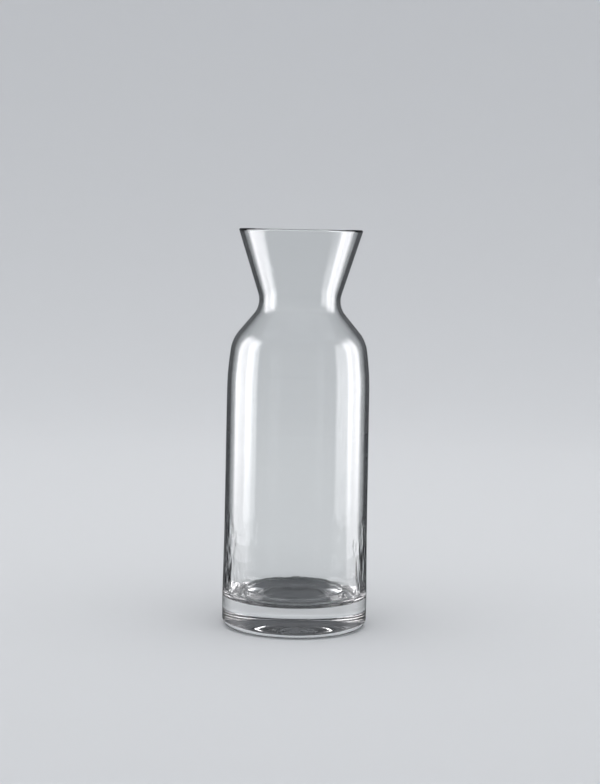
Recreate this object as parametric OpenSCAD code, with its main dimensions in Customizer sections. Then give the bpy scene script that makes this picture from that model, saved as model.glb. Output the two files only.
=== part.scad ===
// Water carafe in one piece of clear glass.
// It stands on the XY plane, centred on the Z axis, and every surface is turned about that axis.
// A thick base carries a straight body, which closes over a round shoulder to a narrow waist.
// Above the waist the neck opens as a cone to a fire-polished lip.

/* [Foot] */
// Diameter of the heel, where the side meets the underside
heel_d = 93.7; // [86:0.1:102]
// Widest diameter of the carafe, a little above the heel
foot_d = 94.2; // [86:0.1:102]
// Height of the widest diameter above the table
foot_h = 18; // [12:0.5:30]
// Radius that rounds the heel down to the table
heel_r = 5.4; // [3:0.2:8]
// Inner diameter of the flat ring that the carafe stands on
ring_d = 68; // [58:0.5:74]
// Radius that rounds the inner edge of the standing ring
ring_r = 6; // [2:0.5:10]
// Diameter at which the push-up under the base turns from its slope to its crown
push_up_d = 34; // [24:0.5:44]
// Height of the push-up where its slope ends
push_up_h = 4.5; // [2:0.1:7]
// Rise of the push-up from there to its centre
push_up_rise = 0.5; // [0.1:0.1:2]
// Radius that blends the push-up's slope into its crown
push_up_r = 20; // [8:1:40]

/* [Body] */
// Diameter of the body where its side turns nearly upright
side_d = 92.8; // [86:0.1:102]
// Height of that diameter above the table
side_h = 60; // [45:1:90]
// Diameter of the body where the side ends and the shoulder begins
side_top_d = 91.95; // [84:0.05:100]
// Length of the straight side, up to the beginning of the shoulder
side_len = 104.6; // [80:0.1:140]
// Radius of the slow bend at the beginning of the shoulder
side_top_r = 150; // [60:5:170]

/* [Shoulder and waist] */
// Diameter of the shoulder, where its upper cone begins
shoulder_d = 86.5; // [80:0.1:92]
// Rise from the end of the side to the shoulder diameter
shoulder_rise = 22.1; // [16:0.1:30]
// Radius that rounds the shoulder
shoulder_r = 23.5; // [12:0.5:30]
// Diameter at which the lines of the shoulder cone and the neck cone cross
waist_d = 49.1; // [42:0.1:60]
// Rise from the shoulder diameter to that crossing
waist_rise = 22.5; // [16:0.1:30]
// Radius of the waist, seen from outside
waist_r = 14.2; // [8:0.2:18]

/* [Neck and lip] */
// Outer diameter of the lip, were its edge not rounded
lip_d = 80.2; // [70:0.1:92]
// Rise from the crossing at the waist to the top of the lip
neck_rise = 48.8; // [36:0.1:64]
// Radius of the lip's outer edge
lip_outer_r = 0.95; // [0.5:0.05:1.2]
// Radius of the lip's inner edge
lip_inner_r = 1.5; // [0.8:0.05:2]

/* [Glass thickness] */
// Thickness of the lip, measured level
lip_t = 2.65; // [1.8:0.05:4]
// Thickness of the glass at the waist
waist_t = 2.45; // [1.6:0.05:3.5]
// Thickness of the glass at the shoulder
shoulder_t = 2.4; // [1.6:0.05:3.5]
// Thickness of the glass in the side
side_t = 2.35; // [1.6:0.05:3.5]

/* [Inside of the base] */
// Height at which the side begins to thicken down to the base
thick_h = 44; // [36:0.5:52]
// Radius of the slow bend where the side begins to thicken
thick_r = 300; // [60:10:320]
// Thickness of the side at the bottom of the cavity
thick_t = 4.2; // [3:0.1:7]
// Glass under the trough that runs round the cavity's floor
trough_t = 18.8; // [14:0.1:24]
// Inner diameter of the trough
trough_d = 68.8; // [60:0.2:76]
// Radius that rounds the side into the trough
trough_outer_r = 6; // [3:0.1:8]
// Radius that rounds the trough's inner side
trough_inner_r = 1; // [0.6:0.1:3]
// Diameter of the raised floor, at its edge
floor_d = 64.4; // [50:0.2:68]
// Height of the raised floor's edge above the trough
floor_step = 5.2; // [3:0.1:8]
// Radius that rounds the edge of the raised floor
floor_edge_r = 2; // [1:0.1:4]
// Rise of the floor from its edge to its centre
floor_crown = 3; // [0.5:0.1:5]

/* [Hidden] */
glass_colour = [0.84, 0.92, 0.92, 0.45];
// Turn of one step along an arc, in degrees
arc_step = 6;
// Sides of the interpreter's own preview
round_sides = 180;
// Shortest reach that counts as a blend, as a share of the heel's radius
least_share = 0.000001;
least_reach = heel_r * least_share;

// Heights above the table that follow from the rises
side_top_h = side_h + side_len;
shoulder_h = side_top_h + shoulder_rise;
waist_h = shoulder_h + waist_rise;
lip_h = waist_h + neck_rise;
floor_edge_h = trough_t + floor_step;
floor_centre_h = floor_edge_h + floor_crown;
push_up_top = push_up_h + push_up_rise;

// Corners of the outside, from the side up to the lip, as points of radius and height
foot_at = [foot_d / 2, foot_h];
side_at = [side_d / 2, side_h];
side_top_at = [side_top_d / 2, side_top_h];
shoulder_at = [shoulder_d / 2, shoulder_h];
waist_at = [waist_d / 2, waist_h];
lip_at = [lip_d / 2, lip_h];

// Corners of the cavity that follow the outside at the thickness of the glass
lip_in = lip_at - [lip_t, 0];
waist_in = inset(shoulder_at, waist_at, lip_at, waist_t);
shoulder_in = inset(side_top_at, shoulder_at, waist_at, shoulder_t);
side_top_in = inset(side_at, side_top_at, shoulder_at, side_t);
side_in = inset(foot_at, side_at, side_top_at, side_t);
thick_in = [outside_r(thick_h) - side_t, thick_h];
trough_outer = [outside_r(trough_t) - thick_t, trough_t];

// The whole half section, once round the glass: each corner has its radius, its height and its blend
SECTION = [
    [0, push_up_top, 0],
    [push_up_d / 2, push_up_h, push_up_r],
    [ring_d / 2, 0, ring_r],
    [heel_d / 2, 0, heel_r],
    corner(foot_at, 0),
    corner(side_at, 0),
    corner(side_top_at, side_top_r),
    corner(shoulder_at, shoulder_r),
    corner(waist_at, waist_r),
    corner(lip_at, lip_outer_r),
    corner(lip_in, lip_inner_r),
    corner(waist_in, waist_r + waist_t),
    corner(shoulder_in, shoulder_r - shoulder_t),
    corner(side_top_in, side_top_r - side_t),
    corner(side_in, 0),
    corner(thick_in, thick_r),
    corner(trough_outer, trough_outer_r),
    [trough_d / 2, trough_t, trough_inner_r],
    [floor_d / 2, floor_edge_h, floor_edge_r],
    [0, floor_centre_h, 0],
];

// A corner of the section, from its point and its blend
function corner(point, blend) = [point[0], point[1], blend];

// Radius of the outside at a height between the foot and the top of the side
function outside_r(h) = lookup(h, [
    [0, heel_d / 2],
    [foot_at[1], foot_at[0]],
    [side_at[1], side_at[0]],
    [side_top_at[1], side_top_at[0]],
]);

// Unit vector from a to b
function way(a, b) = (b - a) / norm(b - a);

// Unit vector square to the way from a to b, pointing to its left, into the glass
function left_of(a, b) = [a[1] - b[1], b[0] - a[0]] / norm(b - a);

// The corner p between its neighbours a and b, moved into the glass by the thickness t
function inset(a, p, b, t) =
    let (m = left_of(a, p), n = left_of(p, b))
    p + (m + n) * t / (1 + m * n);

// Point of corner i
function at(i) = [SECTION[i][0], SECTION[i][1]];

// Turn of the outline at corner i, in degrees, positive to the left
function turn(i) =
    let (u = way(at(i - 1), at(i)), v = way(at(i), at(i + 1)))
    atan2(cross(u, v), u * v);

// How far the full blend of corner i reaches along its two edges
function full_reach(i) =
    i <= 0 || i >= len(SECTION) - 1 ? 0 : SECTION[i][2] * tan(abs(turn(i)) / 2);

// Share of their full reach that the blends at both ends of edge i can take
function edge_share(i) =
    min(1, norm(at(i + 1) - at(i)) / max(least_reach, full_reach(i) + full_reach(i + 1)));

// Points of corner i: the corner itself, or an arc from one edge to the other
function rounded(i) =
    full_reach(i) <= least_reach ? [at(i)] :
    let (
        share = min(edge_share(i - 1), edge_share(i)),
        start = at(i) + way(at(i), at(i - 1)) * full_reach(i) * share,
        side = left_of(at(i - 1), at(i)) * sign(turn(i)),
        centre = start + side * SECTION[i][2] * share,
        steps = ceil(abs(turn(i)) / arc_step)
    )
    [for (k = [0 : steps]) centre + turned(start - centre, turn(i) * k / steps)];

// The vector v turned to the left by an angle
function turned(v, angle) =
    [v[0] * cos(angle) - v[1] * sin(angle), v[0] * sin(angle) + v[1] * cos(angle)];

// The carafe's one piece of glass: its half section turned about the Z axis
module glass_body() {
    color(glass_colour)
        rotate_extrude(angle = 360, $fn = round_sides)
            polygon([for (i = [0 : len(SECTION) - 1], point = rounded(i)) point]);
}

glass_body();
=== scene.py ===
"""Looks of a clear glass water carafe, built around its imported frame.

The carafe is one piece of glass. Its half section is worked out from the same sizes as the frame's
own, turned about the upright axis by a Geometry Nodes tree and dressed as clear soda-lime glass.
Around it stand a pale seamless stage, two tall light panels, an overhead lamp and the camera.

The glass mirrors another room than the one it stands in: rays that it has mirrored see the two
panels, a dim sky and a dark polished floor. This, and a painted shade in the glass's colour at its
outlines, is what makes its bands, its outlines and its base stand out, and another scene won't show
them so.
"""

from __future__ import annotations

import logging
import math
from dataclasses import dataclass, field
from enum import Enum, IntEnum
from typing import Any, Callable, NamedTuple, Sequence

import bpy
from mathutils import Matrix, Vector

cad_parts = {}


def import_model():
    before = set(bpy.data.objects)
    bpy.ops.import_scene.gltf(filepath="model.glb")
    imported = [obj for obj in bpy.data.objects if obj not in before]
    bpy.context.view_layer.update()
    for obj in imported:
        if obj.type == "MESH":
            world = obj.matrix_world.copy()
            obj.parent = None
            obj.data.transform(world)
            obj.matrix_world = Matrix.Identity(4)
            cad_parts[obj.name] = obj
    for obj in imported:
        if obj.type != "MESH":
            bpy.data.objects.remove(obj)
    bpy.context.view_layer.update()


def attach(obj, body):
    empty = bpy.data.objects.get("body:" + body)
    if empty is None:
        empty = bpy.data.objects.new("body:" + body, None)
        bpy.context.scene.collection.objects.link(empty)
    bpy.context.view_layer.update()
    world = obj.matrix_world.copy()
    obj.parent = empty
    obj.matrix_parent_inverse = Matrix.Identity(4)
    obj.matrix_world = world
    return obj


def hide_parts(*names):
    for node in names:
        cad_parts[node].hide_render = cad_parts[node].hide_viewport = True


Colour = tuple[float, float, float, float]
Span = tuple[float, float]

LOG = logging.getLogger("carafe")
MM = 0.001
GLASS_NODE = "glass_body"
ROOT_BODY = "root"
SETTLE = "settle"
FLAT_MATRIX = 2
SPACE_MATRIX = 4
SCATTER_WEIGHT = 100.0
RISING: Span = (0.0, 1.0)
FALLING: Span = (1.0, 0.0)


class Axis(Enum):
    """The axes that the camera and the light panels turn about."""

    X = "X"
    Z = "Z"

    def turn(self, angle: float) -> Matrix:
        """Return the turn about this axis by an angle in radians."""
        return Matrix.Rotation(angle, SPACE_MATRIX, self.value)


class ColourMix(IntEnum):
    """The places of a Mix node's sockets for colours, which share their names with its other sockets."""

    SHARE = 0
    FIRST = 6
    SECOND = 7
    RESULT = 2


class Operand(NamedTuple):
    """A Math node's operation and its two inputs."""

    operation: str
    left: Any
    right: Any


class Socket:
    """An output socket that takes part in arithmetic by adding Math nodes."""

    def __init__(self, graph: "Graph", output: bpy.types.NodeSocket) -> None:
        """Keep the output and the tree that it belongs to."""
        self.graph = graph
        self.output = output

    def _math(self, operand: Operand) -> "Socket":
        """Add one Math node and return its output."""
        values = {0: operand.left, 1: operand.right}
        return self.graph.add("ShaderNodeMath", {"operation": operand.operation}, values)[0]

    def __add__(self, other: Any) -> "Socket":
        """Return self + other."""
        return self._math(Operand("ADD", self, other))

    def __radd__(self, other: Any) -> "Socket":
        """Return other + self."""
        return self._math(Operand("ADD", other, self))

    def __sub__(self, other: Any) -> "Socket":
        """Return self - other."""
        return self._math(Operand("SUBTRACT", self, other))

    def __rsub__(self, other: Any) -> "Socket":
        """Return other - self."""
        return self._math(Operand("SUBTRACT", other, self))

    def __mul__(self, other: Any) -> "Socket":
        """Return self * other."""
        return self._math(Operand("MULTIPLY", self, other))

    def __rmul__(self, other: Any) -> "Socket":
        """Return other * self."""
        return self._math(Operand("MULTIPLY", other, self))

    def __truediv__(self, other: Any) -> "Socket":
        """Return self / other."""
        return self._math(Operand("DIVIDE", self, other))

    def __rtruediv__(self, other: Any) -> "Socket":
        """Return other / self."""
        return self._math(Operand("DIVIDE", other, self))

    def __mod__(self, other: Any) -> "Socket":
        """Return self modulo other."""
        return self._math(Operand("MODULO", self, other))

    def __rmod__(self, other: Any) -> "Socket":
        """Return other modulo self."""
        return self._math(Operand("MODULO", other, self))

    def floor(self) -> "Socket":
        """Return the whole part of self."""
        return self._math(Operand("FLOOR", self, 0.0))

    def cosine(self) -> "Socket":
        """Return the cosine of self, an angle in radians."""
        return self._math(Operand("COSINE", self, 0.0))

    def sine(self) -> "Socket":
        """Return the sine of self, an angle in radians."""
        return self._math(Operand("SINE", self, 0.0))


class Graph:
    """A node tree of shader or geometry nodes, built call by call."""

    def __init__(self, tree: bpy.types.NodeTree) -> None:
        """Keep the node tree to build in."""
        self.tree = tree

    def add(
        self,
        node_type: str,
        settings: dict[str, Any] | None = None,
        values: dict[int | str, Any] | None = None,
    ) -> "Outputs":
        """Add a node, set it and wire it.

        Args:
            node_type: The node's Blender type.
            settings: Its properties, set before its sockets are read.
            values: Its inputs by name or index, each a plain value or a Socket.

        Returns:
            The node's outputs.
        """
        node = self.tree.nodes.new(node_type)
        for name, value in (settings or {}).items():
            setattr(node, name, value)
        for key, value in (values or {}).items():
            target = node.inputs[key]
            if isinstance(value, Socket):
                self.tree.links.new(value.output, target)
            else:
                target.default_value = value
        return Outputs(self, node)


class Outputs:
    """A node's outputs, read by name or index as Sockets."""

    def __init__(self, graph: Graph, node: bpy.types.Node) -> None:
        """Keep the node and its tree."""
        self.graph = graph
        self.node = node

    def __getitem__(self, key: int | str) -> Socket:
        """Return one output as a Socket."""
        return Socket(self.graph, self.node.outputs[key])


def ramp(graph: Graph, value: Socket, span: Span, ends: Span) -> Socket:
    """Run softly from one number to another.

    Args:
        graph: The tree.
        value: What the ramp runs over.
        span: The values at which it begins and ends.
        ends: The numbers that it has there.

    Returns:
        The ramp's number.
    """
    return graph.add(
        "ShaderNodeMapRange",
        {"interpolation_type": "SMOOTHSTEP"},
        {"Value": value, "From Min": span[0], "From Max": span[1], "To Min": ends[0], "To Max": ends[1]},
    )[0]


def noise(graph: Graph, place: Socket, scale: float, detail: float) -> Socket:
    """Add even noise.

    Args:
        graph: The tree.
        place: Where the noise is read.
        scale: How many of its grains go to a metre.
        detail: How many finer layers it has.

    Returns:
        The noise, from 0 to 1.
    """
    return graph.add("ShaderNodeTexNoise", {}, {"Vector": place, "Scale": scale, "Detail": detail})[0]


def either(graph: Graph, share: Socket, first: Socket, second: Socket) -> Socket:
    """Mix two shaders.

    Args:
        graph: The tree.
        share: The second shader's share of the mix, from 0 to 1.
        first: The shader that shows where the share is 0.
        second: The shader that shows where it is 1.

    Returns:
        The mixed shader.
    """
    return graph.add("ShaderNodeMixShader", {}, {0: share, 1: first, 2: second})[0]


def new_material(name: str) -> tuple[bpy.types.Material, Graph]:
    """Make an empty node material.

    Args:
        name: The material's name.

    Returns:
        The material and its graph.
    """
    material = bpy.data.materials.new(name)
    material.use_nodes = True
    material.node_tree.nodes.clear()
    return material, Graph(material.node_tree)


def link_object(name: str, data: bpy.types.ID) -> bpy.types.Object:
    """Put data in the scene under a name.

    Args:
        name: The object's name.
        data: A mesh, lamp or camera.

    Returns:
        The new object.
    """
    item = bpy.data.objects.new(name, data)
    bpy.context.scene.collection.objects.link(item)
    return item


def ring(radius: float, height: float, turns: int) -> list[tuple[float, float, float]]:
    """Space points evenly on a level circle about the Z axis.

    Args:
        radius: The circle's radius.
        height: Its height above the table.
        turns: How many points it has.

    Returns:
        The points, in order.
    """
    angles = [math.tau * k / turns for k in range(turns)]
    return [(radius * math.cos(angle), radius * math.sin(angle), height) for angle in angles]


class Corner(NamedTuple):
    """A corner of the half section."""

    radius: float
    height: float
    blend: float = 0.0

    @property
    def point(self) -> Vector:
        """The corner without its blend, as radius and height."""
        return Vector((self.radius, self.height))


class Place(NamedTuple):
    """A place on the half section, and whether it lies on the cavity's side."""

    point: Vector
    inside: bool


class RingPoint(NamedTuple):
    """A point of the finished half section."""

    radius: float
    height: float
    settle: float


def left_of(start: Vector, end: Vector) -> Vector:
    """Return the unit vector square to the way from start to end, on its left."""
    step = (end - start).normalized()
    return Vector((-step.y, step.x))


def inset(before: Vector, corner: Vector, after: Vector, depth: float) -> Vector:
    """Move a corner into the glass.

    Args:
        before: The corner before it.
        corner: The corner itself.
        after: The corner after it.
        depth: The thickness of the glass there.

    Returns:
        The moved corner.
    """
    first = left_of(before, corner)
    second = left_of(corner, after)
    return corner + (first + second) * depth / (1 + first.dot(second))


@dataclass(frozen=True)
class GlassSection:
    """The half section of the carafe, in metres."""

    heel_d: float = 93.7 * MM
    foot_d: float = 94.2 * MM
    foot_h: float = 18 * MM
    heel_r: float = 5.4 * MM
    ring_d: float = 68 * MM
    ring_r: float = 6 * MM
    push_up_d: float = 34 * MM
    push_up_h: float = 4.5 * MM
    push_up_rise: float = 0.5 * MM
    push_up_r: float = 20 * MM
    side_d: float = 92.8 * MM
    side_h: float = 60 * MM
    side_top_d: float = 91.95 * MM
    side_len: float = 104.6 * MM
    side_top_r: float = 150 * MM
    shoulder_d: float = 86.5 * MM
    shoulder_rise: float = 22.1 * MM
    shoulder_r: float = 23.5 * MM
    waist_d: float = 49.1 * MM
    waist_rise: float = 22.5 * MM
    waist_r: float = 14.2 * MM
    lip_d: float = 80.2 * MM
    neck_rise: float = 48.8 * MM
    lip_outer_r: float = 0.95 * MM
    lip_inner_r: float = 1.5 * MM
    lip_t: float = 2.65 * MM
    waist_t: float = 2.45 * MM
    shoulder_t: float = 2.4 * MM
    side_t: float = 2.35 * MM
    thick_h: float = 44 * MM
    thick_r: float = 300 * MM
    thick_t: float = 4.2 * MM
    trough_t: float = 18.8 * MM
    trough_d: float = 68.8 * MM
    trough_outer_r: float = 6 * MM
    trough_inner_r: float = 1 * MM
    floor_d: float = 64.4 * MM
    floor_step: float = 5.2 * MM
    floor_edge_r: float = 2 * MM
    floor_crown: float = 3 * MM
    settle_top: float = 78 * MM
    settle_lean: float = 0.65
    arc_step: float = math.radians(3.5)
    coarse_step: float = 4 * MM
    fine_step: float = 0.9 * MM

    def outside_radius(self, height: float) -> float:
        """Work out how wide the glass is near its foot.

        Args:
            height: A height above the table, up to the straight side's lower end.

        Returns:
            The outside's radius there.
        """
        if height < self.foot_h:
            low, high, bottom, top = 0.0, self.foot_h, self.heel_d, self.foot_d
        else:
            low, high, bottom, top = self.foot_h, self.side_h, self.foot_d, self.side_d
        return (bottom + (top - bottom) * (height - low) / (high - low)) / 2

    def landmarks(self) -> list[Vector]:
        """Work out the outside's main corners.

        Returns:
            The foot, the side's two ends, the shoulder, the waist and the lip, as radius and height.
        """
        side_top_h = self.side_h + self.side_len
        shoulder_h = side_top_h + self.shoulder_rise
        waist_h = shoulder_h + self.waist_rise
        sizes = [
            (self.foot_d, self.foot_h),
            (self.side_d, self.side_h),
            (self.side_top_d, side_top_h),
            (self.shoulder_d, shoulder_h),
            (self.waist_d, waist_h),
            (self.lip_d, waist_h + self.neck_rise),
        ]
        return [Vector((width / 2, height)) for width, height in sizes]

    def outer_corners(self) -> list[Corner]:
        """Go up the outside.

        Returns:
            Its corners, from the push-up's centre to the lip's inner edge.
        """
        foot, side, side_top, shoulder, waist, lip = self.landmarks()
        return [
            Corner(0.0, self.push_up_h + self.push_up_rise),
            Corner(self.push_up_d / 2, self.push_up_h, self.push_up_r),
            Corner(self.ring_d / 2, 0.0, self.ring_r),
            Corner(self.heel_d / 2, 0.0, self.heel_r),
            Corner(*foot),
            Corner(*side),
            Corner(*side_top, self.side_top_r),
            Corner(*shoulder, self.shoulder_r),
            Corner(*waist, self.waist_r),
            Corner(*lip, self.lip_outer_r),
            Corner(lip.x - self.lip_t, lip.y, self.lip_inner_r),
        ]

    def inner_corners(self) -> list[Corner]:
        """Go down the cavity's side and along its floor.

        Returns:
            Their corners, from the waist to the floor's centre.
        """
        foot, side, side_top, shoulder, waist, lip = self.landmarks()
        floor_h = self.trough_t + self.floor_step
        trough_wall = self.outside_radius(self.trough_t) - self.thick_t
        return [
            Corner(*inset(shoulder, waist, lip, self.waist_t), self.waist_r + self.waist_t),
            Corner(*inset(side_top, shoulder, waist, self.shoulder_t), self.shoulder_r - self.shoulder_t),
            Corner(*inset(side, side_top, shoulder, self.side_t), self.side_top_r - self.side_t),
            Corner(*inset(foot, side, side_top, self.side_t)),
            Corner(self.outside_radius(self.thick_h) - self.side_t, self.thick_h, self.thick_r),
            Corner(trough_wall, self.trough_t, self.trough_outer_r),
            Corner(self.trough_d / 2, self.trough_t, self.trough_inner_r),
            Corner(self.floor_d / 2, floor_h, self.floor_edge_r),
            Corner(0.0, floor_h + self.floor_crown),
        ]

    def rounded(self, before: Corner, corner: Corner, after: Corner) -> list[Vector]:
        """Round one corner.

        Args:
            before: The corner before it.
            corner: The corner itself.
            after: The corner after it.

        Returns:
            The corner's own point, or the points of its arc.
        """
        incoming = (corner.point - before.point).normalized()
        outgoing = (after.point - corner.point).normalized()
        turn = math.atan2(incoming.x * outgoing.y - incoming.y * outgoing.x, incoming.dot(outgoing))
        reach = corner.blend * math.tan(abs(turn) / 2)
        if not reach:
            return [corner.point]
        start = corner.point - incoming * reach
        centre = start + left_of(before.point, corner.point) * math.copysign(corner.blend, turn)
        steps = math.ceil(abs(turn) / self.arc_step)
        turns = [Matrix.Rotation(turn * k / steps, FLAT_MATRIX) for k in range(steps + 1)]
        return [centre + part @ (start - centre) for part in turns]

    def settle(self, place: Place) -> float:
        """Work out how far the glass shows its settle waves.

        Args:
            place: The place on the half section.

        Returns:
            The waves' share of their full height, from 0 to 1.
        """
        floor_h = self.trough_t + self.trough_outer_r
        share = (place.point.y - floor_h) / (self.settle_top - floor_h)
        if not place.inside or not 0 < share < 1:
            return 0.0
        return math.sin(math.pi * share**self.settle_lean)

    def filled(self, start: Vector, end: Vector, inside: bool) -> list[Place]:
        """Fill a straight stretch with points.

        Args:
            start: Its first point, which isn't returned.
            end: Its last point, which isn't returned.
            inside: Whether it lies on the cavity's side.

        Returns:
            The points between, closer together where the settle waves show.
        """
        length = (end - start).length
        places: list[Place] = []
        walked = 0.0
        while length - walked > self.fine_step:
            waved = self.settle(Place(start.lerp(end, walked / length), inside)) > 0
            walked += self.fine_step if waved else min(self.coarse_step, (length - walked) / 2)
            places.append(Place(start.lerp(end, walked / length), inside))
        return places[:-1] if length - walked < self.fine_step / 2 else places

    def points(self) -> list[RingPoint]:
        """Go once round the glass, from the push-up's centre to the floor's.

        Returns:
            The points of the whole half section, in order.
        """
        outer = self.outer_corners()
        corners = outer + self.inner_corners()
        places = [Place(corners[0].point, False)]
        for index in range(1, len(corners) - 1):
            inside = index >= len(outer)
            arc = self.rounded(*corners[index - 1 : index + 2])
            places += self.filled(places[-1].point, arc[0], inside)
            places += [Place(point, inside) for point in arc]
        places += self.filled(places[-1].point, corners[-1].point, True)
        places.append(Place(corners[-1].point, True))
        return [RingPoint(place.point.x, place.point.y, self.settle(place)) for place in places]


@dataclass(frozen=True)
class ClearGlass:
    """Clear soda-lime glass with fire-polished faces, faint handling marks and a painted shade at its
    outlines.
    """

    tint: Colour = (0.985, 0.995, 0.993, 1.0)
    # Painted shade: the dark colour that the glass is given where it is seen at a steep slant, as at its
    # outlines.
    edge_painted_shade: Colour = (0.42, 0.47, 0.46, 1.0)
    painted_shade_facing: Span = (0.62, 1.0)
    ior: float = 1.52
    stretch: tuple[float, float, float] = (1.0, 1.0, 0.35)
    mark_scale: float = 26.0
    mark_detail: float = 4.0
    mark_span: Span = (0.52, 0.74)
    mark_roughness: Span = (0.0, 0.035)
    wave_scale: float = 14.0
    wave_detail: float = 1.0
    wave_strength: float = 0.05
    wave_depth: float = 0.4 * MM
    ripple_scale: float = 200.0
    ripple_detail: float = 1.0
    ripple_depth: float = 1.0 * MM
    ripple_facing: Span = (0.06, 0.3)
    ripple_strength: Span = (0.25, 1.0)

    def colour(self, graph: Graph, facing: Socket) -> Socket:
        """Paint shade into the glass's colour where it is seen at a steep slant, as at its outlines.

        Args:
            graph: The material to build in.
            facing: How far the glass turns away from the eye, from 0 to 1.

        Returns:
            The glass's colour.
        """
        # The outlines get a painted shade: the dark colour is mixed in by how far the glass turns from the
        # eye.
        tint_and_painted_shade = {
            ColourMix.SHARE: ramp(graph, facing, self.painted_shade_facing, RISING),
            ColourMix.FIRST: self.tint,
            ColourMix.SECOND: self.edge_painted_shade,
        }
        return graph.add("ShaderNodeMix", {"data_type": "RGBA"}, tint_and_painted_shade)[ColourMix.RESULT]

    def relief(self, graph: Graph, place: Socket, facing: Socket) -> Socket:
        """Bend the light a little with long waves, and with ripples where the glass has settled.

        The ripples are drawn stronger where the glass is seen at a slant, which real ones aren't.
        That keeps the floor's edge clean behind the front wall.

        Args:
            graph: The material to build in.
            place: Where the waves and ripples are read.
            facing: How far the glass turns away from the eye, from 0 to 1.

        Returns:
            The glass's normal.
        """
        waves = graph.add(
            "ShaderNodeBump",
            {},
            {
                "Strength": self.wave_strength,
                "Distance": self.wave_depth,
                "Height": noise(graph, place, self.wave_scale, self.wave_detail),
            },
        )[0]
        settle = graph.add("ShaderNodeAttribute", {"attribute_name": SETTLE})["Fac"]
        return graph.add(
            "ShaderNodeBump",
            {},
            {
                "Strength": ramp(graph, facing, self.ripple_facing, self.ripple_strength),
                "Distance": self.ripple_depth,
                "Height": noise(graph, place, self.ripple_scale, self.ripple_detail) * settle,
                "Normal": waves,
            },
        )[0]

    def material(self) -> bpy.types.Material:
        """Make the finish.

        Returns:
            The glass as a node material.
        """
        material, graph = new_material("clear_glass_finish")
        facing = graph.add("ShaderNodeLayerWeight")["Facing"]
        place = graph.add("ShaderNodeTexCoord")["Object"]
        stretched = graph.add("ShaderNodeMapping", {}, {"Vector": place, "Scale": self.stretch})[0]
        marks = noise(graph, stretched, self.mark_scale, self.mark_detail)
        shader = graph.add(
            "ShaderNodeBsdfPrincipled",
            {},
            {
                "Base Color": self.colour(graph, facing),
                "Roughness": ramp(graph, marks, self.mark_span, self.mark_roughness),
                "IOR": self.ior,
                "Transmission Weight": 1.0,
                "Normal": self.relief(graph, stretched, facing),
            },
        )[0]
        graph.add("ShaderNodeOutputMaterial", {}, {"Surface": shader})
        return material


class ProfileRow(NamedTuple):
    """The point of a profile that a row of the turned grid takes."""

    profile: Socket
    number: Socket

    def read(self, value: Socket, kind: str) -> Socket:
        """Read a value of the profile at this point.

        Args:
            value: What is read.
            kind: The kind of value that it is.

        Returns:
            The value there.
        """
        return value.graph.add(
            "GeometryNodeSampleIndex",
            {"data_type": kind, "domain": "POINT"},
            {"Geometry": self.profile, "Value": value, "Index": self.number},
        )[0]


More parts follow.
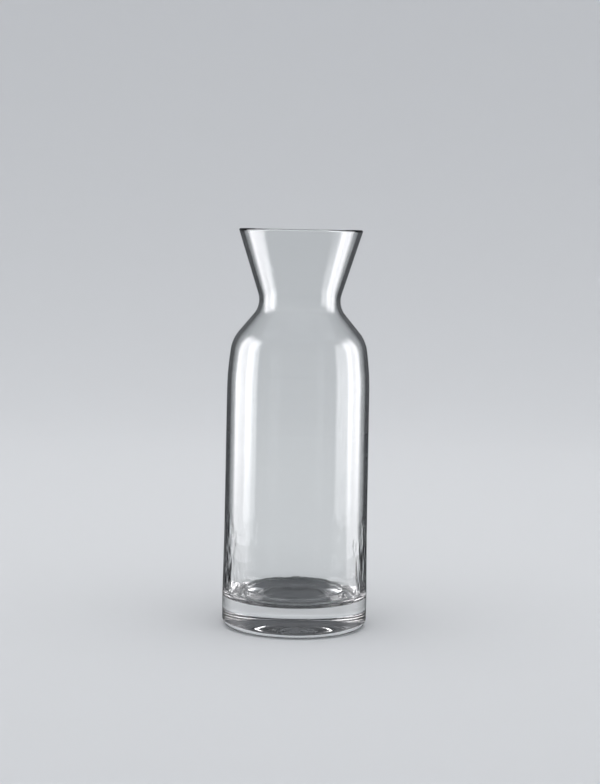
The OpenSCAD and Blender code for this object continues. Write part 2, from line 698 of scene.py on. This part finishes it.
@dataclass
class Carafe:
    """The carafe's one piece of glass."""

    section: GlassSection = field(default_factory=GlassSection)
    finish: ClearGlass = field(default_factory=ClearGlass)
    turns: int = 232
    wave_height: float = 0.28 * MM
    wave_scale: float = 60.0
    wave_detail: float = 1.0
    wave_middle: float = 0.5
    wave_squeeze: float = 3.0
    wave_seed: float = 7.0
    weld: float = 0.002 * MM

    def inputs(self) -> dict[str, tuple[str, float]]:
        """List the tree's own inputs.

        Returns:
            The kind and the value of each, by its name.
        """
        return {
            "Turns": ("NodeSocketInt", self.turns),
            "Wave Height": ("NodeSocketFloat", self.wave_height),
            "Wave Scale": ("NodeSocketFloat", self.wave_scale),
            "Wave Seed": ("NodeSocketFloat", self.wave_seed),
        }

    def profile(self) -> bpy.types.Object:
        """Draw the half section.

        Returns:
            An object whose mesh is one open line.
        """
        points = self.section.points()
        edges = [(k, k + 1) for k in range(len(points) - 1)]
        mesh = bpy.data.meshes.new("carafe_profile")
        mesh.from_pydata([(p.radius, 0.0, p.height) for p in points], edges, [])
        settle = mesh.attributes.new(SETTLE, "FLOAT", "POINT")
        settle.data.foreach_set("value", [p.settle for p in points])
        return link_object("carafe_profile", mesh)

    def new_tree(self) -> bpy.types.NodeTree:
        """Start the tree.

        Returns:
            A geometry tree that holds only its named inputs and its output.
        """
        tree = bpy.data.node_groups.new("turned_glass", "GeometryNodeTree")
        tree.is_modifier = True
        tree.interface.new_socket("Geometry", in_out="INPUT", socket_type="NodeSocketGeometry")
        for name, (kind, _) in self.inputs().items():
            tree.interface.new_socket(name, in_out="INPUT", socket_type=kind)
        tree.interface.new_socket("Geometry", in_out="OUTPUT", socket_type="NodeSocketGeometry")
        return tree

    def ring_place(self, angle: Socket, radius: Socket, height: Socket) -> Socket:
        """Find a place on a ring about the Z axis.

        Args:
            angle: The angle about the axis, in radians.
            radius: The distance from the axis.
            height: The height above the table.

        Returns:
            The place.
        """
        place = {"X": angle.cosine() * radius, "Y": angle.sine() * radius, "Z": height}
        return angle.graph.add("ShaderNodeCombineXYZ", {}, place)[0]

    def waved_radius(self, given: Outputs, angle: Socket, split: Outputs, settle: Socket) -> Socket:
        """Give a point of the profile its share of the settle waves.

        Args:
            given: The tree's inputs.
            angle: The point's angle about the Z axis, in radians.
            split: The point of the profile, as its X, Y and Z.
            settle: How far the glass shows its settle waves there.

        Returns:
            The point's radius.
        """
        swell = given.graph.add(
            "ShaderNodeTexNoise",
            {"noise_dimensions": "4D"},
            {
                "Vector": self.ring_place(angle, split["X"], split["Z"] * self.wave_squeeze),
                "W": given["Wave Seed"],
                "Scale": given["Wave Scale"],
                "Detail": self.wave_detail,
            },
        )[0]
        return split["X"] + settle * given["Wave Height"] * (swell - self.wave_middle)

    def lathe(self, glass: bpy.types.Material) -> bpy.types.NodeTree:
        """Build the tree that turns a profile about the Z axis.

        Args:
            glass: The material of the turned piece.

        Returns:
            The geometry tree, with the number of turns and the settle waves as its inputs.
        """
        tree = self.new_tree()
        graph = Graph(tree)
        given = graph.add("NodeGroupInput")
        profile = given["Geometry"]
        count = graph.add("GeometryNodeAttributeDomainSize", {}, {"Geometry": profile})["Point Count"]
        grid = graph.add(
            "GeometryNodeMeshGrid", {}, {"Vertices X": given["Turns"] + 1, "Vertices Y": count}
        )["Mesh"]
        index = graph.add("GeometryNodeInputIndex")[0]
        angle = (index / count).floor() / given["Turns"] * math.tau
        row = ProfileRow(profile, index % count)
        point = row.read(graph.add("GeometryNodeInputPosition")[0], "FLOAT_VECTOR")
        named = graph.add("GeometryNodeInputNamedAttribute", {"data_type": "FLOAT"}, {"Name": SETTLE})[0]
        settle = row.read(named, "FLOAT")
        split = graph.add("ShaderNodeSeparateXYZ", {}, {"Vector": point})
        place = self.ring_place(angle, self.waved_radius(given, angle, split, settle), split["Z"])
        marked = graph.add(
            "GeometryNodeStoreNamedAttribute",
            {"data_type": "FLOAT", "domain": "POINT"},
            {"Geometry": grid, "Name": SETTLE, "Value": settle},
        )[0]
        turned = graph.add("GeometryNodeSetPosition", {}, {"Geometry": marked, "Position": place})[0]
        welded = graph.add("GeometryNodeMergeByDistance", {}, {"Geometry": turned, "Distance": self.weld})[0]
        smooth = graph.add("GeometryNodeSetShadeSmooth", {}, {"Geometry": welded})[0]
        real = graph.add("GeometryNodeRealizeInstances", {}, {"Geometry": smooth})[0]
        dressed = graph.add("GeometryNodeSetMaterial", {}, {"Geometry": real, "Material": glass})[0]
        graph.add("NodeGroupOutput", {}, {"Geometry": dressed})
        return tree

    def build(self) -> bpy.types.Object:
        """Make the glass and put it in the place of its frame node.

        Returns:
            The finished piece.
        """
        profile = self.profile()
        tree = self.lathe(self.finish.material())
        modifier = profile.modifiers.new("turned_glass", "NODES")
        modifier.node_group = tree
        wanted = self.inputs()
        for item in tree.interface.items_tree:
            if item.item_type == "SOCKET" and item.name in wanted:
                modifier[item.identifier] = wanted[item.name][1]
        shaped = profile.evaluated_get(bpy.context.evaluated_depsgraph_get())
        mesh = bpy.data.meshes.new_from_object(shaped)
        mesh.name = "carafe_glass"
        profile.modifiers.remove(modifier)
        bpy.data.objects.remove(profile)
        piece = link_object("carafe_glass", mesh)
        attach(piece, ROOT_BODY)
        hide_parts(GLASS_NODE)
        LOG.info("glass: %d faces", len(mesh.polygons))
        return piece


@dataclass(frozen=True)
class PhotoCamera:
    """The camera at the photograph's viewing angle."""

    frame_long_side: float = 784.0
    focal_pixels: float = 1900.0
    sensor: float = 36.0
    distance: float = 1225.5 * MM
    height: float = 264 * MM
    pitch: float = math.radians(5.18)
    roll: float = math.radians(1.08)
    yaw: float = math.radians(-0.0555)

    def build(self) -> bpy.types.Object:
        """Make the camera and let the scene use it.

        Returns:
            The camera.
        """
        data = bpy.data.cameras.new("photo_camera")
        data.sensor_width = self.sensor
        data.lens = self.focal_pixels * self.sensor / self.frame_long_side
        camera = link_object("photo_camera", data)
        camera.matrix_world = (
            Matrix.Translation((0.0, -self.distance, self.height))
            @ Axis.Z.turn(self.yaw)
            @ Axis.X.turn(math.pi / 2 - self.pitch)
            @ Axis.Z.turn(self.roll)
        )
        bpy.context.scene.camera = camera
        return camera


class Shown(Enum):
    """The rays that something in the studio shows itself to."""

    MIRRORED = "mirrored"
    UNMIRRORED = "unmirrored"

    def share(self, graph: Graph) -> Socket:
        """Find out whether a ray is one of these.

        A mirrored ray is one that the glass has mirrored and the stage hasn't scattered.

        Args:
            graph: The material or world to build in.

        Returns:
            1 for a ray that is, and 0 for all others.
        """
        path = graph.add("ShaderNodeLightPath")
        mirrored = path["Glossy Depth"] - SCATTER_WEIGHT * path["Diffuse Depth"]
        switch = graph.add("ShaderNodeClamp", {}, {"Value": mirrored})[0]
        return switch if self is Shown.MIRRORED else 1.0 - switch


class Cloth(NamedTuple):
    """The glow of a softbox's cloth."""

    colour: Colour
    glow: float
    shown: Shown


def glowing_finish(
    name: str, cloth: Cloth, cover: Callable[[Graph], Socket] | None = None
) -> bpy.types.Material:
    """Make the finish of a softbox.

    Args:
        name: The material's name.
        cloth: The colour and brightness of its light, and the rays that see it. It is clear to all others.
        cover: Works out how much of its full glow the cloth has at a place, from 0 to 1.

    Returns:
        The finish.
    """
    material, graph = new_material(name)
    clear = graph.add("ShaderNodeBsdfTransparent")[0]
    lit = graph.add("ShaderNodeEmission", {}, {"Color": cloth.colour, "Strength": cloth.glow})[0]
    share = cloth.shown.share(graph)
    if cover:
        share = share * cover(graph)
    graph.add("ShaderNodeOutputMaterial", {}, {"Surface": either(graph, share, clear, lit)})
    return material


@dataclass(frozen=True)
class LightPanel:
    """A tall softbox at one side of the carafe, there only for what mirrors it.

    The glass then carries its long bright bands, while the floor and the view through the glass
    don't show it.
    """

    name: str
    azimuth: float
    distance: float
    width: float
    top: float
    glow: float = 3.7
    colour: Colour = (1.0, 0.975, 1.0, 1.0)
    low_glow: float = 0.5
    low_top: float = 0.14
    soft_sides: float = 0.42
    soft_top: float = 0.72

    def cover(self, graph: Graph) -> Socket:
        """Dim the cloth low down and let it fade out at its edges.

        Args:
            graph: The material to build in.

        Returns:
            How much of its full glow the cloth has at a place, from 0 to 1.
        """
        place = graph.add("ShaderNodeTexCoord")["Object"]
        split = graph.add("ShaderNodeSeparateXYZ", {}, {"Vector": place})
        across = split["X"] * (2 / self.width)
        sides = ramp(graph, across * across, (self.soft_sides, 1.0), FALLING)
        low = ramp(graph, split["Z"], (0.0, self.low_top), (self.low_glow, 1.0))
        high = ramp(graph, split["Z"], (self.soft_top * self.top, self.top), FALLING)
        return sides * low * high

    def build(self) -> bpy.types.Object:
        """Make the panel, facing the carafe's axis, and hide it from the camera, from diffuse rays and from
        shadows.

        Returns:
            The panel.
        """
        half = self.width / 2
        places = [(-half, 0.0, 0.0), (half, 0.0, 0.0), (half, 0.0, self.top), (-half, 0.0, self.top)]
        mesh = bpy.data.meshes.new(self.name)
        mesh.from_pydata(places, [], [(3, 2, 1, 0)])
        cloth = Cloth(self.colour, self.glow, Shown.MIRRORED)
        mesh.materials.append(glowing_finish(f"{self.name}_cloth", cloth, self.cover))
        panel = link_object(self.name, mesh)
        panel.matrix_world = Axis.Z.turn(self.azimuth) @ Matrix.Translation((0.0, -self.distance, 0.0))
        panel.visible_camera = panel.visible_diffuse = panel.visible_shadow = False
        return panel


@dataclass(frozen=True)
class OverheadLamp:
    """A wide soft lamp above the carafe, which lights the table through the glass too."""

    height: float = 1.7
    radius: float = 1.5
    sides: int = 64
    glow: float = 2.05
    colour: Colour = (1.0, 1.0, 1.0, 1.0)

    def build(self) -> bpy.types.Object:
        """Make the lamp's disk, facing down, and hide it from the camera and from shadows.

        Returns:
            The lamp.
        """
        mesh = bpy.data.meshes.new("overhead_lamp")
        mesh.from_pydata(ring(self.radius, self.height, self.sides), [], [tuple(reversed(range(self.sides)))])
        cloth = Cloth(self.colour, self.glow, Shown.UNMIRRORED)
        mesh.materials.append(glowing_finish("overhead_cloth", cloth))
        lamp = link_object("overhead_lamp", mesh)
        lamp.visible_camera = lamp.visible_shadow = False
        return lamp


@dataclass(frozen=True)
class PaleStage:
    """A round seamless stage: a floor whose rim sweeps up into a wall.

    It lies a hair below the glass, because a film of air stays between the two. Rays that the glass
    has mirrored see it dark and polished, and all others pale and matt.
    """

    floor_radius: float = 1.9
    sweep_radius: float = 0.9
    wall_top: float = 2.4
    turns: int = 96
    sweep_steps: int = 16
    colour: Colour = (0.62, 0.63, 0.645, 1.0)
    mirrored: Colour = (0.18, 0.18, 0.185, 1.0)
    matt: float = 0.7
    polished: float = 0.05
    polished_ior: float = 2.2
    grain_scale: float = 180.0
    grain_detail: float = 3.0
    grain_strength: float = 0.04
    grain_depth: float = 0.2 * MM
    air_film: float = 0.1 * MM

    def outline(self) -> list[tuple[float, float]]:
        """Draw the stage's half section outside its centre.

        Returns:
            Its points as radius and height, from the sweep's foot to the wall's top.
        """
        flat = self.floor_radius - self.sweep_radius
        angles = [math.pi / 2 * k / self.sweep_steps for k in range(self.sweep_steps + 1)]
        sweep = [
            (flat + self.sweep_radius * math.sin(angle), self.sweep_radius * (1 - math.cos(angle)))
            for angle in angles
        ]
        return [*sweep, (self.floor_radius, self.wall_top)]

    def material(self) -> bpy.types.Material:
        """Make the stage's paint.

        Returns:
            The paint, matt to the eye and polished in what the glass mirrors of it.
        """
        material, graph = new_material("stage_paint")
        place = graph.add("ShaderNodeTexCoord")["Object"]
        bump = graph.add(
            "ShaderNodeBump",
            {},
            {
                "Strength": self.grain_strength,
                "Distance": self.grain_depth,
                "Height": noise(graph, place, self.grain_scale, self.grain_detail),
            },
        )[0]
        plain = graph.add(
            "ShaderNodeBsdfDiffuse",
            {},
            {"Color": self.colour, "Roughness": self.matt, "Normal": bump},
        )[0]
        glossy = graph.add(
            "ShaderNodeBsdfPrincipled",
            {},
            {
                "Base Color": self.mirrored,
                "Roughness": self.polished,
                "IOR": self.polished_ior,
                "Normal": bump,
            },
        )[0]
        shader = either(graph, Shown.MIRRORED.share(graph), plain, glossy)
        graph.add("ShaderNodeOutputMaterial", {}, {"Surface": shader})
        return material

    def build(self) -> bpy.types.Object:
        """Make the stage and set it a hair below the glass.

        Returns:
            The stage.
        """
        outline = self.outline()
        places = [(0.0, 0.0, 0.0)]
        for radius, height in outline:
            places += ring(radius, height, self.turns)
        faces: list[Sequence[int]] = []
        for k in range(self.turns):
            after = (k + 1) % self.turns
            faces.append((0, 1 + k, 1 + after))
            for row in range(len(outline) - 1):
                low = 1 + row * self.turns
                high = low + self.turns
                faces.append((low + k, high + k, high + after, low + after))
        mesh = bpy.data.meshes.new("stage")
        mesh.from_pydata(places, [], faces)
        mesh.shade_smooth()
        mesh.materials.append(self.material())
        stage = link_object("stage", mesh)
        stage.location.z = -self.air_film
        return stage


@dataclass(frozen=True)
class PaleWorld:
    """The plain light from above the stage, which rays that the glass has mirrored see much dimmer."""

    colour: Colour = (0.9, 0.93, 1.0, 1.0)
    strength: float = 1.0
    mirrored_strength: float = 0.32

    def background(self, graph: Graph, strength: float) -> Socket:
        """Return the world's light at a strength."""
        return graph.add("ShaderNodeBackground", {}, {"Color": self.colour, "Strength": strength})[0]

    def build(self) -> bpy.types.World:
        """Make the world and let the scene use it.

        Returns:
            The world.
        """
        world = bpy.data.worlds.new("studio_world")
        world.use_nodes = True
        world.node_tree.nodes.clear()
        graph = Graph(world.node_tree)
        sky = self.background(graph, self.strength)
        room = self.background(graph, self.mirrored_strength)
        shader = either(graph, Shown.MIRRORED.share(graph), sky, room)
        graph.add("ShaderNodeOutputWorld", {}, {"Surface": shader})
        bpy.context.scene.world = world
        return world


@dataclass(frozen=True)
class LightDepth:
    """How often light may be reflected and refracted, which is often in a thick clear base."""

    reflected: int = 16
    refracted: int = 16
    together: int = 24

    def apply(self) -> None:
        """Let the light go this deep."""
        paths = bpy.context.scene.cycles
        paths.glossy_bounces = self.reflected
        paths.transmission_bounces = self.refracted
        paths.max_bounces = self.together


@dataclass
class Studio:
    """Everything round the carafe: stage, lamps, world and camera."""

    camera: PhotoCamera = field(default_factory=PhotoCamera)
    depth: LightDepth = field(default_factory=LightDepth)
    stage: PaleStage = field(default_factory=PaleStage)
    world: PaleWorld = field(default_factory=PaleWorld)
    overhead: OverheadLamp = field(default_factory=OverheadLamp)
    panels: tuple[LightPanel, ...] = (
        LightPanel("left_panel", azimuth=math.radians(-96), distance=0.32, width=0.28, top=0.47),
        LightPanel("right_panel", azimuth=math.radians(98), distance=0.25, width=0.155, top=0.39),
    )

    def build(self) -> None:
        """Make the studio and set how its picture is shown."""
        self.camera.build()
        self.depth.apply()
        self.stage.build()
        self.world.build()
        self.overhead.build()
        for panel in self.panels:
            panel.build()
        bpy.context.scene.view_settings.view_transform = "Standard"
        LOG.info("studio: %d light panels", len(self.panels))


def main() -> None:
    """Build the studio and the carafe around the imported frame."""
    logging.basicConfig(level=logging.INFO, format="%(name)s %(message)s")
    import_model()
    Studio().build()
    Carafe().build()


if __name__ == "__main__":
    main()
